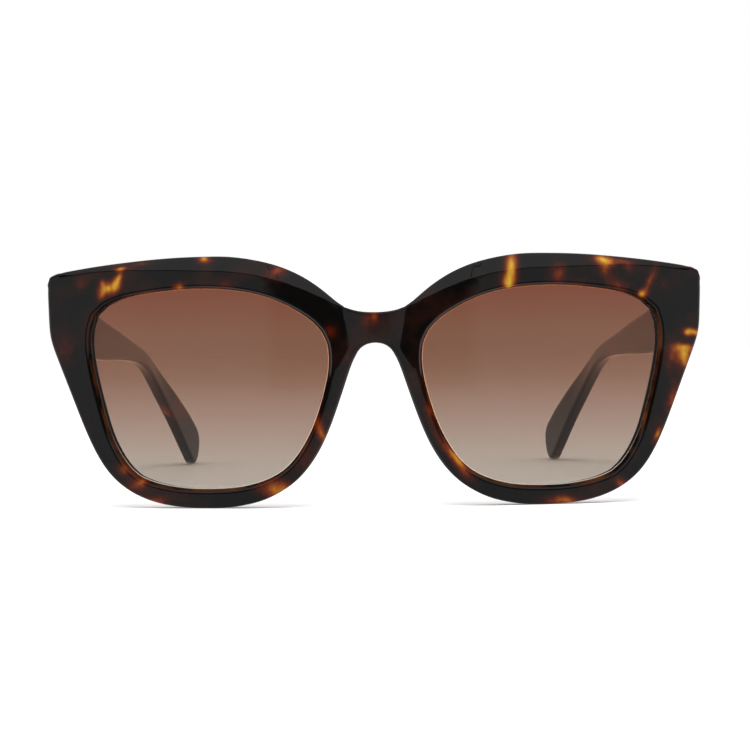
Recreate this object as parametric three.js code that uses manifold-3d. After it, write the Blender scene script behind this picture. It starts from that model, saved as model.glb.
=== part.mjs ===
// Cat eye sunglasses with an acetate front, two folding temples and five-barrel hinges.
//
// Millimetres, +Z up. The front faces -Y and the temples run back along +Y. The wearer's left is
// at +X. Everything is laid out from the foremost point of the bridge (y = 0) and from the ground
// that the rims and the temple tips rest on (z = 0). The root group then moves the origin to the
// middle of the bridge's flat back face.

import * as THREE from 'three';
import { TessellateModifier } from 'three/addons/modifiers/TessellateModifier.js';
import { mergeVertices } from 'three/addons/utils/BufferGeometryUtils.js';
import Module from 'manifold-3d';

const wasm = await Module();
wasm.setup();

// ---------------------------------------------------------------- driving dimensions

// Front
const WRAP_RADIUS = 250;
const FRONT_THICKNESS = 4.4;
const FRONT_EDGE_BEVEL = 0.6;
const FRONT_FACET_LENGTH = 9;
const BRIDGE_BACK_Y = 4.2;
const BRIDGE_HEIGHT = 39;
const BRIDGE_FLAT_WIDTH = 9;

// Lenses
const LENS_CENTRE = new THREE.Vector2(36.3, 26.4);
const LENS_THICKNESS = 2;
const LENS_INSET = 0.95;
const LENS_VERTICAL_RADIUS = 400;
const LENS_EDGE_IN_GROOVE = 0.7;
const LENS_SEGMENTS = 56;
const GROOVE_CLEARANCE = 0.3;

// End pieces and hinges
const END_PIECE_BACK_Y = 14.4;
const BUTT_GAP = 0.2;
const HINGE_X = 65.2;
const HINGE_Y = 15.85;
const HINGE_Z = 43.4;
const BARREL_RADIUS = 1.35;
const BARREL_HEIGHT = 1.5;
const BARREL_GAP = 0.1;
const BARREL_COUNT = 5;
const BORE_RADIUS = 0.78;
const SCREW_RADIUS = 0.7;
const SCREW_HEAD_RADIUS = 1.15;
const SCREW_HEAD_HEIGHT = 0.6;
const ROUND_SEGMENTS = 16;
const POCKET_CLEARANCE = 0.3;
const PLATE_HEIGHT = 8.4;

// Temples
const TEMPLE_INNER_X = 66.6;
const TEMPLE_THICKNESS = 4;
const TEMPLE_EDGE_BEVEL = 0.9;
const TEMPLE_FRONT_Y = END_PIECE_BACK_Y + BUTT_GAP;
const CORE_WIDTH = 1.2;
const CORE_HEIGHT = 1.6;
const CORE_START_Y = 22.8;
const CORE_END_Y = 137;
const CORE_SEGMENTS = 24;

// Nose pads
const PAD_HALF_WIDTH = 2;
const PAD_HALF_HEIGHT = 7.5;
const PAD_DEPTH = 5.6;
const PAD_CENTRE = new THREE.Vector3(9.5, 4.8, 24.2);
const PAD_TILT = THREE.MathUtils.degToRad(19);
const PAD_SPLAY = 0.15;

// ---------------------------------------------------------------- mesh helpers

// Signed volume of an indexed closed mesh, positive when its faces point out.
function signedVolume(geometry) {
  const position = geometry.attributes.position;
  const index = geometry.index.array;
  const a = new THREE.Vector3();
  const b = new THREE.Vector3();
  const c = new THREE.Vector3();
  let volume = 0;
  for (let i = 0; i < index.length; i += 3) {
    a.fromBufferAttribute(position, index[i]);
    b.fromBufferAttribute(position, index[i + 1]);
    c.fromBufferAttribute(position, index[i + 2]);
    volume += a.dot(b.cross(c)) / 6;
  }
  return volume;
}

function reverseFaces(geometry) {
  const index = geometry.index.array;
  for (let i = 0; i < index.length; i += 3) {
    [index[i + 1], index[i + 2]] = [index[i + 2], index[i + 1]];
  }
}

// Shares the vertices of a closed mesh, drops its collapsed triangles and turns its faces outwards.
function closedMesh(source) {
  source.deleteAttribute('normal');
  source.deleteAttribute('uv');
  const geometry = mergeVertices(source, 1e-4);
  const index = geometry.index.array;
  const kept = [];
  for (let i = 0; i < index.length; i += 3) {
    const [a, b, c] = [index[i], index[i + 1], index[i + 2]];
    if (a !== b && b !== c && c !== a) kept.push(a, b, c);
  }
  geometry.setIndex(kept);
  if (signedVolume(geometry) < 0) reverseFaces(geometry);
  return geometry;
}

function toSolid(source) {
  const geometry = closedMesh(source);
  const mesh = new wasm.Mesh({
    numProp: 3,
    vertProperties: new Float32Array(geometry.attributes.position.array),
    triVerts: new Uint32Array(geometry.index.array),
  });
  return new wasm.Manifold(mesh);
}

function toGeometry(solid) {
  const mesh = solid.getMesh();
  const geometry = new THREE.BufferGeometry();
  geometry.setAttribute('position', new THREE.BufferAttribute(new Float32Array(mesh.vertProperties), 3));
  geometry.setIndex(new THREE.BufferAttribute(new Uint32Array(mesh.triVerts), 1));
  return closedMesh(geometry);
}

// Moves every vertex of a geometry to place(vertex).
function reshape(geometry, place) {
  const position = geometry.attributes.position;
  const vertex = new THREE.Vector3();
  for (let i = 0; i < position.count; i += 1) {
    vertex.fromBufferAttribute(position, i);
    const moved = place(vertex);
    position.setXYZ(i, moved.x, moved.y, moved.z);
  }
  return geometry;
}

function mirrored(geometry) {
  return closedMesh(geometry.clone().scale(-1, 1, 1));
}

function boxBetween(low, high) {
  const size = new THREE.Vector3().subVectors(high, low);
  const middle = new THREE.Vector3().addVectors(low, high).multiplyScalar(0.5);
  return new THREE.BoxGeometry(size.x, size.y, size.z).translate(middle.x, middle.y, middle.z);
}

function uprightCylinder(radius, height, centre) {
  const cylinder = new THREE.CylinderGeometry(radius, radius, height, ROUND_SEGMENTS);
  return cylinder.rotateX(Math.PI / 2).translate(centre.x, centre.y, centre.z);
}

// A plate of a given thickness with its edges bevelled inside its outline.
function bevelledPlate(shape, thickness, bevel, bevelSegments) {
  const plate = new THREE.ExtrudeGeometry(shape, {
    depth: thickness - 2 * bevel,
    bevelEnabled: true,
    bevelThickness: bevel,
    bevelSize: bevel,
    bevelOffset: -bevel,
    bevelSegments,
    curveSegments: 1,
  });
  return plate.translate(0, 0, bevel);
}

// ---------------------------------------------------------------- outlines seen from the front

function point(x, z) {
  return new THREE.Vector2(x, z);
}

// Right half of the front's outline, from the bridge's top round to the top of the nose arch.
function halfOutline() {
  const path = new THREE.Path();
  path.moveTo(0, 42.3);
  path.splineThru([
    point(3.5, 42.5), point(7.1, 43.7), point(11.2, 47.2), point(15.8, 50.3), point(20.7, 52.5),
    point(25.6, 53.8), point(30.6, 54.6), point(35.6, 54.8), point(45.8, 54.5), point(58.1, 53.3),
    point(66.9, 52), point(69.6, 51.5),
  ]);
  path.quadraticCurveTo(71.9, 51.1, 71.9, 49);
  path.lineTo(71.6, 38.6);
  path.quadraticCurveTo(71.5, 37, 70.8, 35.2);
  path.splineThru([
    point(67.5, 26.6), point(65.5, 21.4), point(63.6, 16.6), point(61.4, 11.9), point(58.6, 7.6),
    point(54.7, 4.1), point(50, 1.8), point(45.3, 0.6), point(40.3, 0),
  ]);
  path.lineTo(32.6, 0);
  path.splineThru([
    point(26.2, 1.2), point(21.7, 3), point(17.6, 5.7), point(14.4, 9.2), point(11.9, 13.2),
    point(9.9, 17.6), point(8.2, 22.2), point(6.6, 26.9), point(4.9, 31.8), point(3.5, 34.2),
    point(1.8, 35.4), point(0, 35.7),
  ]);
  return path.getPoints(2);
}

// Edge of the lens opening, measured on the front face.
const apertureCurve = new THREE.CatmullRomCurve3(
  [
    [62, 31.1], [62.6, 36.2], [61.9, 41.4], [58.2, 45], [48, 47.2], [35.9, 47.8], [24.5, 46.2],
    [16.7, 42.7], [12.6, 39.7], [10.4, 36.1], [10, 31.3], [11.9, 22.7], [15, 14.9], [20.1, 8.2],
    [27.9, 4.9], [35.9, 4.2], [44.1, 4.6], [52.5, 7.2], [57.5, 14.4], [60, 22.5],
  ].map(([x, z]) => new THREE.Vector3(x, z, 0)),
  true,
);
const APERTURE_SAMPLES = 360;
const aperturePolar = apertureCurve.getSpacedPoints(APERTURE_SAMPLES).map((p) => {
  const dx = p.x - LENS_CENTRE.x;
  const dz = p.y - LENS_CENTRE.y;
  return { angle: Math.atan2(dz, dx), radius: Math.hypot(dx, dz) };
});
aperturePolar.sort((a, b) => a.angle - b.angle);

// Distance from the lens centre to the edge of the opening in a given direction.
function apertureRadius(angle) {
  const turn = 2 * Math.PI;
  const wrapped = THREE.MathUtils.euclideanModulo(angle + Math.PI, turn) - Math.PI;
  let next = aperturePolar.findIndex((sample) => sample.angle > wrapped);
  if (next < 0) next = 0;
  const last = (next + aperturePolar.length - 1) % aperturePolar.length;
  const low = aperturePolar[last];
  const high = aperturePolar[next];
  const span = THREE.MathUtils.euclideanModulo(high.angle - low.angle, turn);
  const share = span > 0 ? THREE.MathUtils.euclideanModulo(wrapped - low.angle, turn) / span : 0;
  return THREE.MathUtils.lerp(low.radius, high.radius, share);
}

// The opening as a closed polygon that runs anticlockwise on either side of the bridge.
function apertureOutline(side) {
  const points = [];
  for (let i = 0; i < LENS_SEGMENTS; i += 1) {
    const angle = (2 * Math.PI * i) / LENS_SEGMENTS;
    const radius = apertureRadius(angle);
    const x = LENS_CENTRE.x + radius * Math.cos(angle);
    points.push(point(side * x, LENS_CENTRE.y + radius * Math.sin(angle)));
  }
  return side > 0 ? points : points.reverse();
}

// ---------------------------------------------------------------- front

// Point at a depth behind the curved front face, square to it.
function onFront(x, z, depth) {
  const slope = x / WRAP_RADIUS;
  const length = Math.hypot(slope, 1);
  const y = (x * x) / (2 * WRAP_RADIUS);
  return new THREE.Vector3(x - (depth * slope) / length, y + depth / length, z);
}

function frontPlate() {
  const half = halfOutline();
  const otherHalf = half.slice(1, -1).reverse().map((p) => point(-p.x, p.y));
  const shape = new THREE.Shape([...half, ...otherHalf]);
  for (const side of [1, -1]) shape.holes.push(new THREE.Path(apertureOutline(side)));
  const plate = bevelledPlate(shape, FRONT_THICKNESS, FRONT_EDGE_BEVEL, 1);
  const divided = new TessellateModifier(FRONT_FACET_LENGTH, 6).modify(plate);
  return reshape(divided, (p) => onFront(p.x, p.y, FRONT_THICKNESS - p.z));
}

// A lens-shaped solid from a turned unit profile: radius 1 is the lens edge, height 0 is the front
// face and height 1 is the back face.
function lensShape(profile, edgeBeyondAperture, inset, thickness) {
  const turned = new THREE.LatheGeometry(profile, LENS_SEGMENTS);
  return reshape(turned, (p) => {
    const share = Math.hypot(p.x, p.z);
    const angle = Math.atan2(p.z, p.x);
    const radius = share * (apertureRadius(angle) + edgeBeyondAperture);
    const rise = radius * Math.sin(angle);
    const depth = inset + (rise * rise) / (2 * LENS_VERTICAL_RADIUS) + p.y * thickness;
    return onFront(LENS_CENTRE.x + radius * Math.cos(angle), LENS_CENTRE.y + rise, depth);
  });
}

function lensGeometry() {
  const rings = [0, 0.25, 0.5, 0.75, 0.975];
  const front = rings.map((r) => point(r, 0));
  const back = rings.map((r) => point(r, 1)).reverse();
  const profile = [...front, point(1, 0.5), ...back];
  return closedMesh(lensShape(profile, LENS_EDGE_IN_GROOVE, LENS_INSET, LENS_THICKNESS));
}

function grooveCutter() {
  const profile = [point(0, 0), point(0.5, 0), point(1, 0), point(1, 1), point(0.5, 1), point(0, 1)];
  const inset = LENS_INSET - GROOVE_CLEARANCE;
  const thickness = LENS_THICKNESS + 2 * GROOVE_CLEARANCE;
  return lensShape(profile, LENS_EDGE_IN_GROOVE + GROOVE_CLEARANCE, inset, thickness);
}

// Squared-off back of the end piece that the temple butts against.
function endPieceBlock() {
  const low = new THREE.Vector3(62.8, 9.5, 36.9);
  const high = new THREE.Vector3(70.3, END_PIECE_BACK_Y, 50.1);
  return boxBetween(low, high);
}

function frontGeometry() {
  const block = toSolid(endPieceBlock());
  const otherBlock = toSolid(mirrored(endPieceBlock()));
  let solid = toSolid(frontPlate()).add(block).add(otherBlock);
  for (const cutter of [grooveCutter(), frontLeafPocket()]) {
    const closed = closedMesh(cutter);
    solid = solid.subtract(toSolid(closed.clone())).subtract(toSolid(mirrored(closed)));
  }
  const half = BRIDGE_FLAT_WIDTH / 2;
  const low = new THREE.Vector3(-half, BRIDGE_BACK_Y, BRIDGE_HEIGHT - 10);
  const high = new THREE.Vector3(half, BRIDGE_BACK_Y + 2, BRIDGE_HEIGHT + 10);
  return toGeometry(solid.subtract(toSolid(boxBetween(low, high))));
}

// ---------------------------------------------------------------- hinges

const PLATE_LOW_Z = HINGE_Z - PLATE_HEIGHT / 2;
const PLATE_HIGH_Z = HINGE_Z + PLATE_HEIGHT / 2;
const FRONT_PLATE_LOW = new THREE.Vector3(63.9, 12.8, PLATE_LOW_Z);
const FRONT_PLATE_HIGH = new THREE.Vector3(66.4, 14.2, PLATE_HIGH_Z);
const TEMPLE_PLATE_LOW = new THREE.Vector3(66.8, 15, PLATE_LOW_Z);
const TEMPLE_PLATE_HIGH = new THREE.Vector3(68, 22, PLATE_HIGH_Z);

function enlarged(low, high, gap) {
  const by = new THREE.Vector3(gap, gap, gap);
  return boxBetween(low.clone().sub(by), high.clone().add(by));
}

function frontLeafPocket() {
  const open = FRONT_PLATE_HIGH.clone();
  open.y = END_PIECE_BACK_Y + 1;
  return enlarged(FRONT_PLATE_LOW, open, POCKET_CLEARANCE);
}

function templeLeafPocket() {
  const open = TEMPLE_PLATE_LOW.clone();
  open.x = TEMPLE_INNER_X - 1;
  open.y = TEMPLE_FRONT_Y - 1;
  return enlarged(open, TEMPLE_PLATE_HIGH, POCKET_CLEARANCE);
}

function barrelCentre(slot) {
  const pitch = BARREL_HEIGHT + BARREL_GAP;
  return new THREE.Vector3(HINGE_X, HINGE_Y, HINGE_Z + (slot - (BARREL_COUNT - 1) / 2) * pitch);
}

// One leaf: its sunk plate, a tongue and a barrel for each slot, and the bore through the barrels.
function hingeLeaf(slots, plateLow, plateHigh, tongueReach) {
  let leaf = toSolid(boxBetween(plateLow, plateHigh));
  for (const slot of slots) {
    const centre = barrelCentre(slot);
    const half = new THREE.Vector3(0, 0, BARREL_HEIGHT / 2);
    const low = centre.clone().add(tongueReach.min).sub(half);
    const high = centre.clone().add(tongueReach.max).add(half);
    leaf = leaf.add(toSolid(boxBetween(low, high)));
    leaf = leaf.add(toSolid(uprightCylinder(BARREL_RADIUS, BARREL_HEIGHT, centre)));
  }
  const bore = uprightCylinder(BORE_RADIUS, 2 * PLATE_HEIGHT, barrelCentre((BARREL_COUNT - 1) / 2));
  return toGeometry(leaf.subtract(toSolid(bore)));
}

function frontLeafGeometry() {
  const reach = new THREE.Box3(new THREE.Vector3(-1.3, -2, 0), new THREE.Vector3(1.15, 0, 0));
  return hingeLeaf([0, 2, 4], FRONT_PLATE_LOW, FRONT_PLATE_HIGH, reach);
}

function templeLeafGeometry() {
  const reach = new THREE.Box3(new THREE.Vector3(0, -0.8, 0), new THREE.Vector3(2, 1.3, 0));
  return hingeLeaf([1, 3], TEMPLE_PLATE_LOW, TEMPLE_PLATE_HIGH, reach);
}

function screwGeometry() {
  const halfStack = (BARREL_COUNT * BARREL_HEIGHT + (BARREL_COUNT - 1) * BARREL_GAP) / 2;
  const topOfBarrels = HINGE_Z + halfStack + BARREL_GAP;
  const shankLength = 2 * halfStack + BARREL_GAP + 0.5;
  const shankCentre = new THREE.Vector3(HINGE_X, HINGE_Y, topOfBarrels + 0.2 - shankLength / 2);
  const headCentre = new THREE.Vector3(HINGE_X, HINGE_Y, topOfBarrels + SCREW_HEAD_HEIGHT / 2);
  const shank = toSolid(uprightCylinder(SCREW_RADIUS, shankLength, shankCentre));
  return toGeometry(shank.add(toSolid(uprightCylinder(SCREW_HEAD_RADIUS, SCREW_HEAD_HEIGHT, headCentre))));
}

// ---------------------------------------------------------------- temples

// Side view of the temple: distance back from the bridge's front, height above the ground.
const templeTop = new THREE.SplineCurve([
  point(TEMPLE_FRONT_Y, 50.4), point(22, 48.9), point(31, 46.1), point(40, 43.5), point(48.2, 41.8),
  point(57, 40.2), point(67, 38.6), point(82, 35.9), point(99, 33), point(105.4, 31.5),
  point(111, 29.8), point(118.5, 27), point(128, 22.6), point(138, 16.9), point(144, 13.1),
  point(148.3, 9.9), point(150, 7.2), point(149.9, 4.4), point(148.8, 1.8),
]);
const templeBottom = new THREE.SplineCurve([
  point(147.2, 0.2), point(145.3, 0.2), point(142.6, 2.2), point(139, 5.5), point(135, 9.1),
  point(131, 12.6), point(127, 15.8), point(123, 18.7), point(118.5, 21.5), point(113, 24.3),
  point(108.5, 26.1), point(103, 27.7), point(97, 28.9), point(90, 29.7), point(80, 30.3),
  point(66, 30.8), point(50.5, 31.2), point(38, 32.4), point(24, 35), point(TEMPLE_FRONT_Y, 36.4),
]);

// Ground covered after a slope has grown evenly from zero to one between two distances.
function easedRun(y, start, end) {
  if (y <= start) return 0;
  if (y >= end) return (end - start) / 2 + (y - end);
  return (y - start) ** 2 / (2 * (end - start));
}

// The temple leaves the hinge square to the front, leans in towards the head and hooks in further
// behind the ear.
const LEAN = { slope: 0.115, start: TEMPLE_FRONT_Y + 1, end: 34 };
const HOOK = { slope: 0.17, start: 112, end: 130 };
const THINNING = { share: 0.24, start: 26, end: 75 };
const TIP_THINNING = { share: 0.08, start: 120, end: 150 };

function innerFaceX(y) {
  const lean = LEAN.slope * easedRun(y, LEAN.start, LEAN.end);
  return TEMPLE_INNER_X - lean - HOOK.slope * easedRun(y, HOOK.start, HOOK.end);
}

// Share of the full thickness left at a distance: the temple thins behind the hinge and at its tip.
function thicknessShare(y) {
  const behindHinge = THREE.MathUtils.smoothstep(y, THINNING.start, THINNING.end);
  const atTip = THREE.MathUtils.smoothstep(y, TIP_THINNING.start, TIP_THINNING.end);
  return 1 - THINNING.share * behindHinge - TIP_THINNING.share * atTip;
}

// Point of the temple from its flat side view: y, z and the distance out from the inner face.
function onTemple(p) {
  const step = 0.05;
  const slope = (innerFaceX(p.x + step) - innerFaceX(p.x - step)) / (2 * step);
  const length = Math.hypot(slope, 1);
  const out = p.z * thicknessShare(p.x);
  return new THREE.Vector3(innerFaceX(p.x) + out / length, p.x - (out * slope) / length, p.y);
}

function heightOn(curve, y) {
  const samples = curve.getPoints(200);
  for (let i = 1; i < samples.length; i += 1) {
    const a = samples[i - 1];
    const b = samples[i];
    if ((a.x - y) * (b.x - y) <= 0) return THREE.MathUtils.mapLinear(y, a.x, b.x, a.y, b.y);
  }
  return samples[0].y;
}

function middleHeight(y) {
  return (heightOn(templeTop, y) + heightOn(templeBottom, y)) / 2;
}

// A strip along the middle of the temple, for the core wire and its channel.
function coreStrip(startY, endY, height, width) {
  const strip = new THREE.BoxGeometry(endY - startY, height, width, CORE_SEGMENTS, 1, 1);
  strip.translate((startY + endY) / 2, 0, TEMPLE_THICKNESS / 2);
  return reshape(strip, (p) => onTemple(new THREE.Vector3(p.x, p.y + middleHeight(p.x), p.z)));
}

function templeGeometry() {
  const outline = [...templeTop.getPoints(42), ...templeBottom.getPoints(38)];
  const plate = bevelledPlate(new THREE.Shape(outline), TEMPLE_THICKNESS, TEMPLE_EDGE_BEVEL, 2);
  const channel = coreStrip(
    CORE_START_Y - 3,
    CORE_END_Y + POCKET_CLEARANCE,
    CORE_HEIGHT + 2 * POCKET_CLEARANCE,
    CORE_WIDTH + 2 * POCKET_CLEARANCE,
  );
  const blank = toSolid(reshape(plate, onTemple));
  return toGeometry(blank.subtract(toSolid(channel)).subtract(toSolid(templeLeafPocket())));
}

function coreGeometry() {
  return closedMesh(coreStrip(CORE_START_Y, CORE_END_Y, CORE_HEIGHT, CORE_WIDTH));
}

// ---------------------------------------------------------------- nose pads

// A dome with a flat base glued behind the nasal rim, leaning with the rim and splayed to the face.
function padGeometry() {
  const profile = [point(0, 0), point(0.5, 0), point(1, 0)];
  const rings = 7;
  for (let i = 1; i <= rings; i += 1) {
    const angle = (Math.PI / 2) * (i / rings);
    profile.push(point(i < rings ? Math.cos(angle) : 0, Math.sin(angle)));
  }
  const dome = new THREE.LatheGeometry(profile, ROUND_SEGMENTS);
  dome.scale(PAD_HALF_WIDTH, PAD_DEPTH, PAD_HALF_HEIGHT);
  reshape(dome, (p) => new THREE.Vector3(p.x + PAD_SPLAY * p.y, p.y, p.z));
  dome.rotateY(-PAD_TILT);
  dome.translate(PAD_CENTRE.x, PAD_CENTRE.y, PAD_CENTRE.z);
  return closedMesh(dome);
}

// ---------------------------------------------------------------- assembly

const acetate = new THREE.MeshStandardMaterial({ color: 0x2a1a12, roughness: 0.18, metalness: 0 });
const lensTint = new THREE.MeshStandardMaterial({
  color: 0x9a7a68,
  roughness: 0.05,
  metalness: 0,
  transparent: true,
  opacity: 0.6,
});
const nickelSilver = new THREE.MeshStandardMaterial({ color: 0xb9b4a8, roughness: 0.35, metalness: 1 });
const screwSteel = new THREE.MeshStandardMaterial({ color: 0xc4c4c6, roughness: 0.3, metalness: 1 });

function namedMesh(name, geometry, material) {
  const mesh = new THREE.Mesh(geometry, material);
  mesh.name = name;
  return mesh;
}

function addPair(parent, name, geometry, material) {
  parent.add(namedMesh(`${name}_left`, geometry, material));
  parent.add(namedMesh(`${name}_right`, mirrored(geometry), material));
}

const sunglasses = new THREE.Group();
const standing = new THREE.Group();
standing.position.set(0, -BRIDGE_BACK_Y, -BRIDGE_HEIGHT);
sunglasses.add(standing);

standing.add(namedMesh('front_frame', frontGeometry(), acetate));
addPair(standing, 'lens', lensGeometry(), lensTint);
addPair(standing, 'nose_pad', padGeometry(), acetate);
addPair(standing, 'temple', templeGeometry(), acetate);
addPair(standing, 'temple_core', coreGeometry(), nickelSilver);
addPair(standing, 'hinge_front_leaf', frontLeafGeometry(), nickelSilver);
addPair(standing, 'hinge_temple_leaf', templeLeafGeometry(), nickelSilver);
addPair(standing, 'hinge_screw', screwGeometry(), screwSteel);

export default sunglasses;
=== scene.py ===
import math
from functools import partial

import bmesh
import bpy
import numpy as np
from mathutils import Matrix, Vector
from mathutils.geometry import delaunay_2d_cdt


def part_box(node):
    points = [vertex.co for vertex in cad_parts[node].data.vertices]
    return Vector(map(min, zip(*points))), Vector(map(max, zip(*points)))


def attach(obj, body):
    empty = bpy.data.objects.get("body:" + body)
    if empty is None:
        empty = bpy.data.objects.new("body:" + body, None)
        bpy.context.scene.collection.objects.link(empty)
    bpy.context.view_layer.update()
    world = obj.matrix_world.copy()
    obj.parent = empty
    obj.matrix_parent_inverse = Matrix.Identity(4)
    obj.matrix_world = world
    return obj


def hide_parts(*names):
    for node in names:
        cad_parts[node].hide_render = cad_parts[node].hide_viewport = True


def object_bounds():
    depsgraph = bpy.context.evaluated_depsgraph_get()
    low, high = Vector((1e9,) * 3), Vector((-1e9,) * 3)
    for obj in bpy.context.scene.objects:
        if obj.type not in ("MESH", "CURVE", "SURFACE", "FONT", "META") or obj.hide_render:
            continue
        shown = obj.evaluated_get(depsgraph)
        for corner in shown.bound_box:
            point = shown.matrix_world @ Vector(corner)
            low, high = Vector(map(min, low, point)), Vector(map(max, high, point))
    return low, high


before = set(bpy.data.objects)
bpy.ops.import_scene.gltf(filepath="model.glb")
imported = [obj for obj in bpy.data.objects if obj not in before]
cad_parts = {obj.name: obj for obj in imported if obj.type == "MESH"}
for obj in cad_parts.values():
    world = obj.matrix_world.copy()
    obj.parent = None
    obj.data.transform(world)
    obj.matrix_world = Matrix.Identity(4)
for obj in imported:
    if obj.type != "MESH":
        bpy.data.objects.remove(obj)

# Looks of the cat eye sunglasses. Lengths in this script are millimetres in the standing frame:
# x to the wearer's left, y back from the bridge's foremost point, z up from the ground. to_row()
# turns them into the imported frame's metres.

CAD_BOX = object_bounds()
MM = 0.001
GROUND = CAD_BOX[0].z
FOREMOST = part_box("front_frame")[0].y

# Driving dimensions that the faceted frame shares with this script.
WRAP_RADIUS = 250.0
FRONT_THICKNESS = 4.4
LENS_CENTRE = np.array([36.3, 26.4])
LENS_IN_GROOVE = 0.7
LENS_INSET = 0.95
LENS_THICKNESS = 2.0
LENS_VERTICAL_RADIUS = 400.0
CAD_EDGE_BEVEL = 0.6
TEMPLE_INNER_X = 66.6
TEMPLE_THICKNESS = 4.0
TEMPLE_EDGE_BEVEL = 0.9
TEMPLE_FRONT_Y = 14.6
LEAN = {"slope": 0.115, "start": 15.6, "end": 34.0}
HOOK = {"slope": 0.17, "start": 112.0, "end": 130.0}
THINNING = [
    {"share": 0.24, "start": 26.0, "end": 75.0},
    {"share": 0.08, "start": 120.0, "end": 150.0},
]

# Steps between the points of each outline, and between the points inside a flat face.
LENS_STEP = 0.75
OUTLINE_STEP = 0.55
RECTANGLE_STEP = 0.6
TEMPLE_STEP = 0.7
FACE_SPACING = 1.5
TEMPLE_SPACING = 1.6

SMOOTH_ANGLE = 35.0
TURN_SEGMENTS = 48

SIDES = {"left": 1.0, "right": -1.0}


def to_row(points):
    """Standing-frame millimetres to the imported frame's metres."""
    return np.asarray(points, float) * MM + np.array([0.0, FOREMOST, GROUND])


def to_side(points, side):
    """Points of the left side as they are for side 1, or mirrored for side -1."""
    return np.asarray(points) * np.array([side, 1.0, 1.0])


def node_points(name):
    """A CAD node's vertices in standing-frame millimetres."""
    return mesh_points(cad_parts[name])


def mesh_points(obj):
    """An object's vertices in standing-frame millimetres."""
    co = np.zeros(len(obj.data.vertices) * 3)
    obj.data.vertices.foreach_get("co", co)
    return (co.reshape(-1, 3) - np.array([0.0, FOREMOST, GROUND])) / MM


def store_values(obj, name, values):
    """One number per vertex, which the materials read."""
    attribute = obj.data.attributes.new(name, "FLOAT", "POINT")
    attribute.data.foreach_set("value", values)


def level_loop(name, flatten, level, tolerance):
    """Longest closed loop of a CAD node's edges that lies at one level of its flattened shape."""
    points = flatten(node_points(name))
    on_level = np.abs(points[:, 2] - level) < tolerance
    keys = [tuple(k) for k in np.round(points[:, :2], 2)]
    neighbours = {}
    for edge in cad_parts[name].data.edges:
        a, b = edge.vertices
        if on_level[a] and on_level[b] and keys[a] != keys[b]:
            neighbours.setdefault(keys[a], set()).add(keys[b])
            neighbours.setdefault(keys[b], set()).add(keys[a])
    loops = []
    unused = set(neighbours)
    while unused:
        loop = [min(unused)]
        unused.discard(loop[0])
        while True:
            ahead = [k for k in neighbours[loop[-1]] if k in unused]
            if not ahead:
                break
            here = np.array(loop[-1])
            loop.append(min(ahead, key=lambda k: np.hypot(*(np.array(k) - here))))
            unused.discard(loop[-1])
        loops.append(np.array(loop))
    return max(loops, key=lambda loop: np.ptp(loop, axis=0).sum() + 0.001 * len(loop))


# ---- curves


def resample(points, spacing):
    """Points at even steps of about the given spacing along a closed curve."""
    pts = np.vstack([points, points[:1]])
    steps = np.linalg.norm(np.diff(pts, axis=0), axis=1)
    run = np.concatenate([[0.0], np.cumsum(steps)])
    count = max(8, int(round(run[-1] / spacing)))
    at = np.linspace(0.0, run[-1], count + 1)[:-1]
    return np.column_stack([np.interp(at, run, pts[:, k]) for k in range(pts.shape[1])])


def softened(points, reach, limit):
    """Evens out the small kinks of a closed curve and leaves its real corners alone."""
    weights = np.exp(-0.5 * (np.arange(-3 * reach, 3 * reach + 1) / reach) ** 2)
    weights /= weights.sum()
    even = sum(w * np.roll(points, k - 3 * reach, axis=0) for k, w in enumerate(weights))
    moved = np.linalg.norm(even - points, axis=1)[:, None]
    return points + (even - points) * np.clip(2 - moved / limit, 0, 1)


def smoothed(points, fine, reach, limit, spacing):
    """A closed curve softened at a fine spacing, then resampled at its final one."""
    return resample(softened(resample(points, fine), reach, limit), spacing)


def smoothstep(value, start, end):
    """0 before the start, 1 past the end, and eased in between."""
    t = np.clip((value - start) / (end - start), 0.0, 1.0)
    return t * t * (3 - 2 * t)


def inward_normals(outline):
    """Unit normals of a closed outline, pointing to its inside."""
    ahead = np.roll(outline, -1, axis=0) - np.roll(outline, 1, axis=0)
    normal = np.column_stack([-ahead[:, 1], ahead[:, 0]])
    normal /= np.linalg.norm(normal, axis=1)[:, None]
    x, z = outline[:, 0], outline[:, 1]
    area = 0.5 * np.sum(x * np.roll(z, -1) - np.roll(x, -1) * z)
    return normal if area > 0 else -normal


def bezier(p0, p1, p2, shares):
    """Points of quadratic curves; each p is (offset, depth) with one entry per outline point."""
    out = []
    for t in shares:
        out.append([(1 - t) ** 2 * a + 2 * t * (1 - t) * b + t * t * c for a, b, c in zip(p0, p1, p2)])
    return out


def inside(points, polygon):
    """Which of the points lie inside a closed polygon."""
    x, z = points[:, 0][:, None], points[:, 1][:, None]
    x0, z0 = polygon[:, 0], polygon[:, 1]
    x1, z1 = np.roll(x0, -1), np.roll(z0, -1)
    crosses = (z0 > z) != (z1 > z)
    with np.errstate(divide="ignore", invalid="ignore"):
        at = x0 + (z - z0) * (x1 - x0) / (z1 - z0)
    return (np.sum(crosses & (x < at), axis=1) % 2) == 1


# ---- meshes

WELD = 1e-4


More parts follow.
